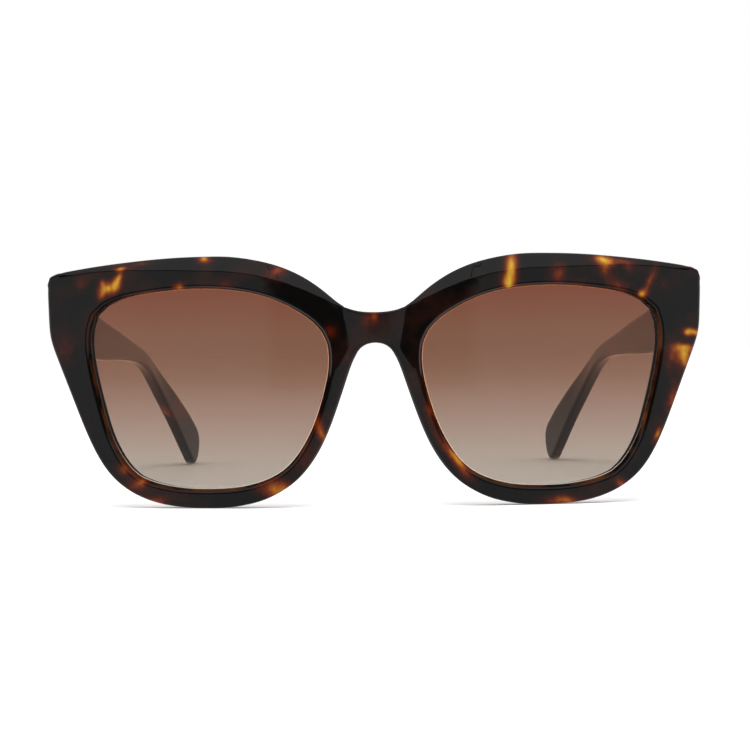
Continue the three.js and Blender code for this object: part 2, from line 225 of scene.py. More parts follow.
class MeshBuilder:
    """Collects vertices and faces, then makes one smooth-shaded object."""

    def __init__(self):
        self.vertices = []
        self.faces = []

    def add(self, points):
        first = len(self.vertices)
        self.vertices.extend(np.asarray(points, float).tolist())
        return np.arange(first, first + len(points))

    def patch(self, points, faces):
        ids = self.add(points)
        self.faces.extend(tuple(ids[f]) for f in faces)

    def loft(self, rings):
        """Quads between each closed ring and the next."""
        for a, b in zip(rings[:-1], rings[1:]):
            for i in range(len(a)):
                j = (i + 1) % len(a)
                self.faces.append((a[i], a[j], b[j], b[i]))

    def object(self, name, smooth_angle=SMOOTH_ANGLE):
        mesh = bpy.data.meshes.new(name)
        rows = to_row(self.vertices)
        mesh.from_pydata(rows.tolist(), [], [tuple(int(v) for v in f) for f in self.faces])
        bm = bmesh.new()
        bm.from_mesh(mesh)
        bmesh.ops.remove_doubles(bm, verts=bm.verts, dist=WELD * MM)
        bmesh.ops.dissolve_degenerate(bm, edges=bm.edges, dist=WELD * MM)
        bmesh.ops.recalc_face_normals(bm, faces=bm.faces)
        if bm.calc_volume(signed=True) < 0:
            bmesh.ops.reverse_faces(bm, faces=bm.faces)
        bm.to_mesh(mesh)
        bm.free()
        return placed(name, mesh, smooth_angle)


def shade(mesh, smooth_angle=SMOOTH_ANGLE):
    """Smooth shading, with a crease wherever faces meet at more than the angle in degrees."""
    mesh.polygons.foreach_set("use_smooth", [True] * len(mesh.polygons))
    mesh.set_sharp_from_angle(angle=math.radians(smooth_angle))


def in_scene(name, data):
    """A new object of the scene with a mesh, a light or a camera."""
    obj = bpy.data.objects.new(name, data)
    bpy.context.scene.collection.objects.link(obj)
    return obj


def placed(name, mesh, smooth_angle=SMOOTH_ANGLE):
    shade(mesh, smooth_angle)
    return in_scene(name, mesh)


def rounded_box(name, low, high, radius, side=1.0, segments=3):
    """A box with every edge rounded, between two corners of the left side or on side -1."""
    xs = sorted((side * low[0], side * high[0]))
    low, high = to_row([(xs[0], *low[1:]), (xs[1], *high[1:])])
    bm = bmesh.new()
    bmesh.ops.create_cube(bm, size=1.0)
    bmesh.ops.scale(bm, vec=high - low, verts=bm.verts)
    bmesh.ops.translate(bm, vec=(high + low) / 2, verts=bm.verts)
    bmesh.ops.bevel(bm, geom=bm.edges, offset=radius * MM, segments=segments, profile=0.5, affect="EDGES")
    mesh = bpy.data.meshes.new(name)
    bm.to_mesh(mesh)
    bm.free()
    return placed(name, mesh)


def turned(name, centre, profile):
    """A part turned about an upright axis; the profile lists (radius, height) all round."""
    builder = MeshBuilder()
    angles = np.linspace(0, 2 * math.pi, TURN_SEGMENTS, endpoint=False)
    rings = []
    for radius, height in profile:
        ring = np.column_stack([radius * np.cos(angles), radius * np.sin(angles), 0 * angles + height])
        rings.append(builder.add(ring + np.array([centre[0], centre[1], 0.0])))
    builder.loft(rings + rings[:1])
    return builder.object(name)


def combine(target, other, operation):
    """Exact boolean of two objects; the second one is used up."""
    modifier = target.modifiers.new("combine", "BOOLEAN")
    modifier.operation = operation
    modifier.solver = "EXACT"
    modifier.object = other
    graph = bpy.context.evaluated_depsgraph_get()
    made = bpy.data.meshes.new_from_object(target.evaluated_get(graph))
    target.modifiers.clear()
    target.data = made
    shade(made)
    bpy.data.objects.remove(other)
    return target


def in_area(points, boundary, holes):
    """Which of the points lie inside the boundary and outside every hole."""
    keep = inside(points, boundary)
    for hole in holes:
        keep &= ~inside(points, hole)
    return keep


def filled(boundary, holes, lines, spacing):
    """Triangulates the area inside a boundary and outside its holes, through the given lines."""
    loops = [boundary, *holes]
    points, edges = [], []
    for loop in loops:
        first = len(points)
        points.extend(loop.tolist())
        edges.extend((first + i, first + (i + 1) % len(loop)) for i in range(len(loop)))
    for line in lines:
        first = len(points)
        points.extend(line.tolist())
        edges.extend((first + i, first + i + 1) for i in range(len(line) - 1))
    low, high = boundary.min(0), boundary.max(0)
    xs = np.arange(low[0] + spacing / 2, high[0], spacing)
    zs = np.arange(low[1] + spacing / 2, high[1], spacing * 0.87)
    grid = np.array([(x + (k % 2) * spacing / 2, z) for k, z in enumerate(zs) for x in xs])
    grid = grid[in_area(grid, boundary, holes)]
    fixed = np.array(points)
    gap = np.array([np.min(np.sum((fixed - g) ** 2, axis=1)) for g in grid])
    grid = grid[gap > (0.45 * spacing) ** 2]
    points.extend(grid.tolist())
    made = delaunay_2d_cdt([Vector(p) for p in points], edges, [], 0, 1e-5)
    verts = np.array([tuple(v) for v in made[0]])
    faces = np.array(made[2])
    return verts, faces[in_area(verts[faces].mean(axis=1), boundary, holes)]


# ---- front: outlines from the frame


def sag(x):
    """How far the front's curve lies behind its foremost line at a distance from the middle."""
    return x * x / (2 * WRAP_RADIUS)


def front_slope(x):
    """Slope of the front's curve, and the length of a step along it for each unit across."""
    slope = x / WRAP_RADIUS
    return slope, np.hypot(slope, 1)


def on_front(flat, depth):
    """Flat (x, z) points laid at a depth behind the curved front face, square to it."""
    x, z, depth = np.broadcast_arrays(*np.atleast_2d(flat).T, depth)
    slope, length = front_slope(x)
    return np.column_stack([x - depth * slope / length, sag(x) + depth / length, z])


def off_front(points):
    """Inverse of on_front: (x, z, depth) of each point."""
    x = points[:, 0].copy()
    for _ in range(30):
        slope, length = front_slope(x)
        depth = (points[:, 1] - sag(x)) * length
        x = points[:, 0] + depth * slope / length
    return np.column_stack([x, points[:, 2], depth])


def polar(points):
    """Angle and distance of flat points about the middle of the lens."""
    d = points[:, :2] - LENS_CENTRE
    return np.arctan2(d[:, 1], d[:, 0]), np.hypot(d[:, 0], d[:, 1])


def lens_edge():
    """Edge of the left CAD lens seen square on, as a smooth closed curve."""
    flat = off_front(node_points("lens_left"))
    angle, radius = polar(flat)
    steps = np.linspace(-math.pi, math.pi, 112, endpoint=False)
    ring = []
    for step in steps:
        near = np.abs((angle - step + math.pi) % (2 * math.pi) - math.pi) < 0.07
        outermost = np.flatnonzero(near)[np.argmax(radius[near])]
        ring.append((angle[outermost], radius[outermost]))
    ring = np.array(sorted(set(ring)))
    ring = ring[np.concatenate([[True], np.diff(ring[:, 0]) > 0.02])]
    fine = np.linspace(-math.pi, math.pi, 1800, endpoint=False)
    reach = np.interp(fine, ring[:, 0], ring[:, 1], period=2 * math.pi)
    curve = LENS_CENTRE + np.column_stack([reach * np.cos(fine), reach * np.sin(fine)])
    return smoothed(curve, 0.2, 10, 0.15, LENS_STEP)


LENS_EDGE = lens_edge()


def shifted(outline, distance):
    """A closed outline moved inwards by a distance."""
    return outline + inward_normals(outline) * distance


LENS_REACH = 36.0
APERTURE = resample(shifted(LENS_EDGE, LENS_IN_GROOVE), LENS_STEP)


def outer_outline():
    """The front's outer edge as a closed curve, from the foremost ring of the CAD wall."""
    loop = level_loop("front_frame", off_front, CAD_EDGE_BEVEL, 0.02)
    return smoothed(loop, 0.25, 6, 0.1, OUTLINE_STEP)


OUTLINE = outer_outline()

# ---- front: facets

# Width of the brow's bevel against the distance from the middle of the bridge.
BROW_AT = [7.0, 9.0, 12.0, 16.0, 22.0, 31.0, 39.0, 49.0, 54.0, 60.0, 66.0, 70.0]
BROW_WIDTH = [0.0, 0.8, 1.8, 2.6, 3.1, 3.2, 3.0, 2.3, 1.7, 1.2, 0.8, 0.0]
BROW_SLOPE = 0.42
# Width of the bevel down the nose cut-out against height.
NOSE_AT = [4.0, 9.0, 15.0, 20.0, 24.0, 28.0, 31.0, 33.6, 35.4]
NOSE_WIDTH = [0.0, 0.9, 2.1, 2.8, 3.0, 2.3, 1.3, 0.5, 0.0]
NOSE_SLOPE = 0.36
LEAST_BEVEL = 1.0
FRONT_EDGE_RADIUS = 0.5
BACK_EDGE_RADIUS = 0.7
CREASE = 0.22
OPENING_REACH = 1.15
LEAST_FACE = 0.15
BRIDGE_TOP_HALF, BRIDGE_LOW_HALF = 6.7, 5.0
BRIDGE_TOP_Z, BRIDGE_LOW_Z = 42.3, 33.5
BRIDGE_FACET_LOW = 24.0
END_PIECE = {"x": (63.15, 69.4), "z": (36.9, 50.1), "radius": 0.8, "back": 14.4}
HINGE_POCKET = {"x": (63.7, 66.6), "z": (39.0, 47.8), "radius": 0.3, "floor": 12.7}
# How far a step's upper and lower edge, and the line between them, stand out from its rectangle.
END_PIECE_STEP = {"edges": (0.0, -0.18), "between": -0.16}
POCKET_STEP = {"edges": (0.06, 0.0), "between": 0.02}
EDGE_SHARES = (0, 0.2, 0.4, 0.6, 0.8, 1)
CREASE_SHARES = (0, 0.35, 0.65, 1)


def bevel_of(outline):
    """Width and slope of the front bevel at each outline point."""
    x, z = np.abs(outline[:, 0]), outline[:, 1]
    up = inward_normals(outline)[:, 1] < -0.25
    brow = np.where(up & (z > 42), np.interp(x, BROW_AT, BROW_WIDTH), 0.0)
    nasal = (~up) & (x < 26) & (z < 36)
    nose = np.where(nasal, np.interp(z, NOSE_AT, NOSE_WIDTH), 0.0)
    width = np.maximum(brow, nose)
    to_lens = np.array([np.min(np.hypot(*(APERTURE - p).T)) for p in np.column_stack([x, z])])
    width = np.minimum(width, np.maximum(to_lens - OPENING_REACH - CREASE - LEAST_FACE, 0.0))
    slope = np.where(brow > nose, BROW_SLOPE, NOSE_SLOPE) * np.clip(width / LEAST_BEVEL, 0, 1)
    return np.maximum(width, LEAST_BEVEL), slope


def bridge_half_width(z):
    """Half the width of the bridge's flat facet at a height."""
    share = (z - BRIDGE_LOW_Z) / (BRIDGE_TOP_Z - BRIDGE_LOW_Z)
    return BRIDGE_LOW_HALF + np.clip(share, -1.0, 1.2) * (BRIDGE_TOP_HALF - BRIDGE_LOW_HALF)


def bridge_recess(x, z):
    """Depth of the bridge's flat facet below the curved front face."""
    recess = np.maximum(0.0, sag(bridge_half_width(z)) - sag(x))
    return np.where(z > BRIDGE_FACET_LOW, recess, 0.0)


def rounded_rectangle(shape, grow=0.0):
    """Closed loop round a rectangle, grown outwards and with rounded corners."""
    x0, x1 = shape["x"][0] - grow, shape["x"][1] + grow
    z0, z1 = shape["z"][0] - grow, shape["z"][1] + grow
    r = max(0.05, shape["radius"] + grow)
    loop = []
    corners = [(x1 - r, z1 - r, 0), (x0 + r, z1 - r, 90), (x0 + r, z0 + r, 180), (x1 - r, z0 + r, 270)]
    for cx, cz, start in corners:
        for step in range(7):
            a = math.radians(start + 15 * step)
            loop.append((cx + r * math.cos(a), cz + r * math.sin(a)))
    return resample(np.array(loop), RECTANGLE_STEP)


def loft_front(builder, outline, profile, facing_front):
    """Quad rings along a closed outline, from (inward offset, depth) arrays; gives the last ring."""
    normal = inward_normals(outline)
    rings = []
    for offset, depth in profile:
        flat = outline + normal * np.asarray(offset)[:, None]
        ahead_of_wall = facing_front * (depth < FRONT_THICKNESS / 2)
        extra = bridge_recess(*flat.T) * ahead_of_wall
        rings.append(builder.add(on_front(flat, depth + extra)))
    builder.loft(rings)
    return flat


def outer_front_profile(outline):
    """From the wall, over the rounded edge and the bevel, onto the front face."""
    width, slope = bevel_of(outline)
    zero = np.zeros(len(outline))
    r = FRONT_EDGE_RADIUS
    edge = width * slope
    end = width - CREASE
    middle = (end + r) / 2
    profile = [(zero, zero + FRONT_THICKNESS / 2)]
    profile += bezier((zero, edge + r), (zero, edge), (zero + r, edge - r * slope), EDGE_SHARES)
    profile += [(middle, (width - middle) * slope)]
    profile += bezier((end, CREASE * slope), (width, zero), (width + CREASE, zero), CREASE_SHARES)
    return profile


def outer_back_profile(outline):
    """From the wall, over the rounded edge, onto the back face."""
    zero = np.zeros(len(outline))
    t, r = FRONT_THICKNESS, BACK_EDGE_RADIUS
    profile = [(zero, zero + t / 2)]
    profile += bezier((zero, zero + t - r), (zero, zero + t), (zero + r, zero + t), EDGE_SHARES)
    return profile + [(zero + r + 0.4, zero + t)]


OPENING = {"plain": 0.82, "top": -0.14, "temple": 0.06, "bottom": 0.1}
OPENING_HALF_WIDTH, OPENING_HALF_HEIGHT = 25.0, 21.0


def opening_width(outline):
    """How far the front edge of a lens opening stands back from the lens, least at the top."""
    across = (np.abs(outline[:, 0]) - LENS_CENTRE[0]) / OPENING_HALF_WIDTH
    up = (outline[:, 1] - LENS_CENTRE[1]) / OPENING_HALF_HEIGHT
    width = OPENING["plain"] + OPENING["temple"] * smoothstep(across, 0.35, 0.9)
    width += OPENING["top"] * smoothstep(up, 0.4, 1.0)
    return width + OPENING["bottom"] * smoothstep(-up, 0.3, 1.0)


CHAMFER_WIDTH, CHAMFER_DEPTH = 0.46, 0.34
SOFT_EDGE = 0.08
SHADED_EDGE = 0.12
GROOVE_DEPTH = 1.0
SEAT_GAP = 0.06
LIP_BREAK = 0.05
BACK_FLARE = 0.4


def lens_dome(flat):
    """Depth of the lens face above and below its middle."""
    return (flat[:, 1] - LENS_CENTRE[1]) ** 2 / (2 * LENS_VERTICAL_RADIUS)


def aperture_front_profile(outline):
    """From the lens groove, up the sloping wall and the chamfer, onto the front face."""
    zero = np.zeros(len(outline))
    lip = LENS_INSET - SEAT_GAP + lens_dome(outline)
    wide = opening_width(outline)
    foot = CHAMFER_WIDTH - wide
    wall_slope = (lip - LIP_BREAK - CHAMFER_DEPTH) / -foot
    slope = CHAMFER_DEPTH / CHAMFER_WIDTH
    soft = SOFT_EDGE
    profile = [(zero - GROOVE_DEPTH, lip + SEAT_GAP + LENS_THICKNESS / 2), (zero - GROOVE_DEPTH, lip)]
    profile += [(zero - LIP_BREAK, lip), (zero, lip - LIP_BREAK)]
    below = (foot + soft, CHAMFER_DEPTH + soft * wall_slope)
    above = (foot - soft, zero + CHAMFER_DEPTH - soft * slope)
    profile += bezier(below, (foot, zero + CHAMFER_DEPTH), above, (0, 0.5, 1))
    for share in (0.35, 0.65):
        profile.append((foot - share * CHAMFER_WIDTH, zero + (1 - share) * CHAMFER_DEPTH))
    top = (soft - wide, zero + soft * slope)
    profile += bezier(top, (-wide, zero), (-wide - soft, zero), CREASE_SHARES)
    return profile + [(-wide - 0.25, zero)]


def aperture_back_profile(outline):
    """From the lens groove, along the wall that flares to the back, onto the back face."""
    zero = np.zeros(len(outline))
    lip = LENS_INSET + LENS_THICKNESS + SEAT_GAP + lens_dome(outline)
    t, r = FRONT_THICKNESS, BACK_FLARE
    profile = [(zero - GROOVE_DEPTH, lip - SEAT_GAP - LENS_THICKNESS / 2), (zero - GROOVE_DEPTH, lip)]
    profile += [(zero - LIP_BREAK, lip), (zero, lip + 0.04)]
    turn = (zero - 0.72 * r, zero + t - 0.3)
    profile += bezier(turn, (zero - 0.8 * r, zero + t), (zero - r, zero + t), (0, 0.3, 0.65, 1))
    return profile + [(zero - r - 0.1, zero + t)]


def back_depth(x, z):
    """Depth of the back face, with the squared end pieces and their hinge pockets."""
    _, length = front_slope(x)
    square = (END_PIECE["back"] - sag(x)) * length
    floor = (HINGE_POCKET["floor"] - sag(x)) * length
    points = np.column_stack([np.abs(x), z])
    on_block = inside(points, rounded_rectangle(END_PIECE, END_PIECE_STEP["between"]))
    in_pocket = inside(points, rounded_rectangle(HINGE_POCKET, POCKET_STEP["between"]))
    depth = np.where(on_block, np.maximum(square, FRONT_THICKNESS), FRONT_THICKNESS)
    return np.where(in_pocket, floor, depth)


def mirrored_loop(loop):
    """A flat loop of the left side on the right side, running the same way round."""
    return loop[::-1] * np.array([-1.0, 1.0])


def bridge_creases():
    """Close pairs of lines down both edges of the bridge's flat facet."""
    z = np.arange(BRIDGE_LOW_Z + 1.4, BRIDGE_TOP_Z - 1.4, 0.5)
    lines = []
    for side in (1, -1):
        for nudge in (-0.12, 0.12):
            lines.append(np.column_stack([side * (bridge_half_width(z) + nudge), z]))
    return lines


def back_steps():
    """Lines round the edges of the end pieces and the hinge pockets, on both sides."""
    loops = [rounded_rectangle(END_PIECE, grow) for grow in END_PIECE_STEP["edges"]]
    loops += [rounded_rectangle(HINGE_POCKET, grow) for grow in POCKET_STEP["edges"]]
    lines = []
    for loop in loops:
        closed = np.vstack([loop, loop[:1]])
        lines += [closed, closed * np.array([-1.0, 1.0])]
    return lines


def add_front_half(builder, outer_profile, aperture_profile, lines, face_depth, facing_front):
    """The front or back half of the front: its outer wall, both lens openings and its face."""
    outer = loft_front(builder, OUTLINE, outer_profile(OUTLINE), facing_front)
    holes = []
    for aperture in APERTURES:
        holes.append(loft_front(builder, aperture, aperture_profile(aperture), facing_front))
    flat, faces = filled(outer, holes, lines, FACE_SPACING)
    builder.patch(on_front(flat, face_depth(*flat.T)), faces)


APERTURES = [APERTURE, mirrored_loop(APERTURE)]


def build_front():
    """Both rims, the bridge and the end pieces as one closed skin."""
    builder = MeshBuilder()
    add_front_half(
        builder, outer_front_profile, aperture_front_profile, bridge_creases(), bridge_recess, True
    )
    add_front_half(
        builder, outer_back_profile, aperture_back_profile, back_steps(), back_depth, False
    )
    front = builder.object("front_acetate")
    mark_lens_walls(front)
    return front


def mark_lens_walls(front):
    """Marks where light and shade are painted: the walls beside the lenses get painted glints and painted
    shade, and the thin line round each opening gets painted shade.
    """
    flat = off_front(mesh_points(front))
    wall = np.zeros(len(flat))
    shade_line = np.zeros(len(flat))
    for aperture in APERTURES:
        width = opening_width(aperture)
        centre = LENS_CENTRE * np.array([np.sign(aperture[0, 0]), 1])
        near = np.hypot(*(flat[:, :2] - centre).T) < LENS_REACH
        for i in np.flatnonzero(near & (flat[:, 2] > -0.01)):
            gap = np.hypot(*(aperture - flat[i, :2]).T)
            k = int(np.argmin(gap))
            down = width[k] - gap[k]
            if down > CHAMFER_WIDTH - 0.02 and flat[i, 2] > CHAMFER_DEPTH - 0.01:
                wall[i] = 1.0
            elif abs(down) < SHADED_EDGE and flat[i, 2] < CHAMFER_DEPTH:
                shade_line[i] = 1.0
    store_values(front, "wall", wall)
    store_values(front, "shade_line", shade_line)


# ---- lenses

LENS_SCALES = np.linspace(0.06, 0.94, 20)
LENS_OFFSETS = (1.2, 1.0, 0.9, 0.8, 0.7, 0.35)
LENS_V = (0.42, 0.58)


def lens_rings():
    """Flat rings of one lens face from its middle to its edge."""
    inward = inward_normals(LENS_EDGE)
    rings = [LENS_CENTRE + (LENS_EDGE - LENS_CENTRE) * share for share in LENS_SCALES]
    return rings + [LENS_EDGE + inward * offset for offset in LENS_OFFSETS]


def build_lens(name, side):
    """A domed lens whose V edge sits in the rim's groove."""
    builder = MeshBuilder()
    face = lens_rings()
    rings = [(flat, 0.0) for flat in face]
    rings += [(LENS_EDGE, level) for level in LENS_V] + [(flat, 1.0) for flat in face[::-1]]
    loops = []
    for flat, level in rings:
        depth = LENS_INSET + lens_dome(flat) + level * LENS_THICKNESS
        loops.append(builder.add(to_side(on_front(flat, depth), side)))
    builder.loft(loops)
    for loop, level in ((loops[0], 0.0), (loops[-1], 1.0)):
        centre = on_front(LENS_CENTRE, LENS_INSET + level * LENS_THICKNESS)
        pole = builder.add(to_side(centre, side))[0]
        for i in range(len(loop)):
            builder.faces.append((loop[i], loop[(i + 1) % len(loop)], pole))
    lens = builder.object(name, smooth_angle=25.0)
    mark_lens_edge(lens, side)
    return lens


def mark_lens_edge(lens, side):
    """Stores on each vertex how far in from the lens edge it lies, in millimetres."""
    flat = off_front(to_side(mesh_points(lens), side))[:, :2]
    store_values(lens, "edge_inset", [np.min(np.hypot(*(LENS_EDGE - p).T)) for p in flat])


# ---- temples


def eased_run(y, start, end):
    """Ground covered after a slope has grown evenly from zero to one between two distances."""
    y = np.asarray(y, float)
    ramp = (np.clip(y, start, end) - start) ** 2 / (2 * (end - start))
    return ramp + np.maximum(y - end, 0.0)


def inner_face_x(y):
    """Distance of the temple's inner face from the middle, at a distance back."""
    lean = LEAN["slope"] * eased_run(y, LEAN["start"], LEAN["end"])
    return TEMPLE_INNER_X - lean - HOOK["slope"] * eased_run(y, HOOK["start"], HOOK["end"])


def inner_face_slope(y):
    """Slope of the inner face, and the length of a step along it for each unit back."""
    slope = (inner_face_x(y + 0.05) - inner_face_x(y - 0.05)) / 0.1
    return slope, np.hypot(slope, 1)


def thickness_share(y):
    """Share of the full thickness left: the temple thins behind the hinge and at its tip."""
    lost = [part["share"] * smoothstep(y, part["start"], part["end"]) for part in THINNING]
    return 1 - lost[0] - lost[1]


def on_temple(flat, out):
    """Points of the temple from its (y, z) side view and the distance out from the inner face."""
    y, z, out = np.broadcast_arrays(*flat.T, out)
    out = out * thickness_share(y)
    slope, length = inner_face_slope(y)
    return np.column_stack([inner_face_x(y) + out / length, y - out * slope / length, z])


def off_temple(points):
    """Inverse of on_temple: (distance back, height, distance out) of each point."""
    y = points[:, 1].copy()
    for _ in range(30):
        slope, length = inner_face_slope(y)
        out = (points[:, 0] - inner_face_x(y)) * length
        y = points[:, 1] + out * slope / length
    return np.column_stack([y, points[:, 2], out / thickness_share(y)])


def temple_outline():
    """Side view of the left CAD temple as a closed curve with its butt end squared off."""
    loop = level_loop("temple_left", off_temple, TEMPLE_THICKNESS - TEMPLE_EDGE_BEVEL, 0.03)
    return smoothed(loop, 0.3, 8, 0.12, TEMPLE_STEP)


TEMPLE_OUTLINE = temple_outline()
TEMPLE_ROUNDING = 1.25
BUTT_ROUNDING = {"share": 0.3, "end": TEMPLE_FRONT_Y + 6.0}
TEMPLE_POCKET = {"low": (65.0, 13.9, 38.9), "high": (68.3, 22.3, 47.9), "radius": 0.6}


def build_temple(name, side):
    """A side arm with rounded edges, squarer at its butt end, and the hinge pocket inside."""
    builder = MeshBuilder()
    outline = TEMPLE_OUTLINE
    normal = inward_normals(outline)
    zero = np.zeros(len(outline))
    ramp = [TEMPLE_FRONT_Y, BUTT_ROUNDING["end"]]
    r = TEMPLE_ROUNDING * np.interp(outline[:, 0], ramp, [BUTT_ROUNDING["share"], 1.0])
    profile = [(zero, zero + TEMPLE_THICKNESS / 2)]
    profile += bezier((zero, r), (zero, zero), (r, zero), (0, 0.15, 0.3, 0.45, 0.6, 0.75, 0.9, 1))
    profile += [(r + 0.08, zero)]
    for inner in (True, False):
        loops = []
        for offset, depth in profile:
            flat = outline + normal * offset[:, None]
            out = depth if inner else TEMPLE_THICKNESS - depth
            loops.append(builder.add(to_side(on_temple(flat, out), side)))
        builder.loft(loops)
        flat, faces = filled(flat, [], [], TEMPLE_SPACING)
        points = on_temple(flat, 0.0 if inner else TEMPLE_THICKNESS)
        builder.patch(to_side(points, side), faces)
    temple = builder.object(name)
    combine(temple, rounded_box("pocket", side=side, **TEMPLE_POCKET), "DIFFERENCE")
    outward = off_temple(to_side(mesh_points(temple), side))[:, 2] / TEMPLE_THICKNESS
    store_values(temple, "outward", outward)
    return temple


# ---- nose pads

PAD = {"half_width": 2.0, "half_height": 7.5, "depth": 5.6, "tilt": 19.0, "splay": 0.15}
PAD_CENTRE = np.array([9.5, 4.8, 24.2])
PAD_BASE_EDGE = 0.12


def build_pad(name, side):
    """A softly domed pad on a flat glued base, leaning with the nasal rim."""
    builder = MeshBuilder()
    angles = np.linspace(0, 2 * math.pi, 72, endpoint=False)
    arc = np.linspace(0, math.pi / 2, 26)[:-1]
    rings = [(0.5, 0.0), (1 - PAD_BASE_EDGE, 0.0), (1 - 0.3 * PAD_BASE_EDGE, 0.006)]
    rings += [(math.cos(a) ** 0.92, 0.02 + 0.98 * math.sin(a)) for a in arc]
    tilt = math.radians(PAD["tilt"])
    loops = []
    for radius, level in [(0.0, 0.0), *rings, (0.0, 1.0)]:
        x = radius * np.cos(angles) * PAD["half_width"]
        z = radius * np.sin(angles) * PAD["half_height"]
        y = np.full(len(angles), level * PAD["depth"])
        x = x + PAD["splay"] * y
        turned_x = x * math.cos(tilt) - z * math.sin(tilt)
        turned_z = x * math.sin(tilt) + z * math.cos(tilt)
        ring = np.column_stack([turned_x, y, turned_z]) + PAD_CENTRE
        loops.append(builder.add(to_side(ring, side)))
    builder.loft(loops)
    return builder.object(name)


# ---- hinges

HINGE = np.array([65.2, 15.85, 43.4])
BARREL = {"radius": 1.35, "height": 1.5, "gap": 0.1, "count": 5, "bore": 0.78, "edge": 0.12}
SCREW = {"radius": 0.7, "head": 1.15, "head_height": 0.6, "slot": 0.28}
PLATE_Z = (39.2, 47.6)
TONGUE_STEP = 0.05
FRONT_LEAF = {
    "plate": ((63.9, 12.8), (66.4, 14.2)),
    "tongue": ((-1.1, -2.0), (1.1, 0.0)),
    "slots": (0, 2, 4),
}
TEMPLE_LEAF = {
    "plate": ((66.8, 15.0), (68.0, 22.0)),
    "tongue": ((0.0, -0.8), (2.0, 1.3)),
    "slots": (1, 3),
}


def barrel_middle(slot):
    """Height of the middle of one of the five barrels, counted upwards."""
    pitch = BARREL["height"] + BARREL["gap"]
    return HINGE[2] + (slot - (BARREL["count"] - 1) / 2) * pitch


def barrel_profile(middle):
    """Half cross-section of one solid barrel with eased edges, as (radius, height) points."""
    r, e = BARREL["radius"], BARREL["edge"]
    low, high = middle - BARREL["height"] / 2, middle + BARREL["height"] / 2
    lower = [(0.0, low), (r - e, low), (r - 0.3 * e, low + 0.3 * e), (r, low + e)]
    return lower + [(r, high - e), (r - 0.3 * e, high - 0.3 * e), (r - e, high), (0.0, high)]


def build_leaf(leaf, name, side):
    """A sunk plate with its tongues and barrels."""
    (x0, y0), (x1, y1) = leaf["plate"]
    made = rounded_box(name, (x0, y0, PLATE_Z[0]), (x1, y1, PLATE_Z[1]), 0.18, side)
    (tx0, ty0), (tx1, ty1) = leaf["tongue"]
    flush = BARREL["height"] / 2 - TONGUE_STEP
    centre = (side * HINGE[0], HINGE[1])
    for slot in leaf["slots"]:
        middle = barrel_middle(slot)
        low = (HINGE[0] + tx0, HINGE[1] + ty0, middle - flush)
        high = (HINGE[0] + tx1, HINGE[1] + ty1, middle + flush)
        combine(made, rounded_box("tongue", low, high, 0.1, side), "UNION")
        combine(made, turned("barrel", centre, barrel_profile(middle)), "UNION")
    low, high, bore = PLATE_Z[0] - 1, PLATE_Z[1] + 1, BARREL["bore"]
    reach = [(0.0, low), (bore, low), (bore, high), (0.0, high)]
    return combine(made, turned("bore", centre, reach), "DIFFERENCE")


def build_screw(name, side):
    """A hinge screw with a domed slotted head."""
    low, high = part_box(name.removesuffix("_visual"))
    bottom, top = (low.z - GROUND) / MM, (high.z - GROUND) / MM
    r, head, under = SCREW["radius"], SCREW["head"], top - SCREW["head_height"]
    profile = [(0.0, bottom), (r - 0.15, bottom), (r, bottom + 0.15), (r, under), (head - 0.1, under)]
    profile += [(head, under + 0.1), (head, top - 0.32), (head - 0.08, top - 0.2), (head - 0.3, top - 0.08)]
    profile += [(head - 0.65, top - 0.015), (0.0, top)]
    centre = (side * HINGE[0], HINGE[1])
    screw = turned(name, centre, profile)
    half = SCREW["slot"] / 2
    slot_low = (centre[0] - 2, centre[1] - half, top - SCREW["slot"])
    slot_high = (centre[0] + 2, centre[1] + half, top + 1)
    return combine(screw, rounded_box("slot", slot_low, slot_high, 0.02, segments=1), "DIFFERENCE")


# ---- materials


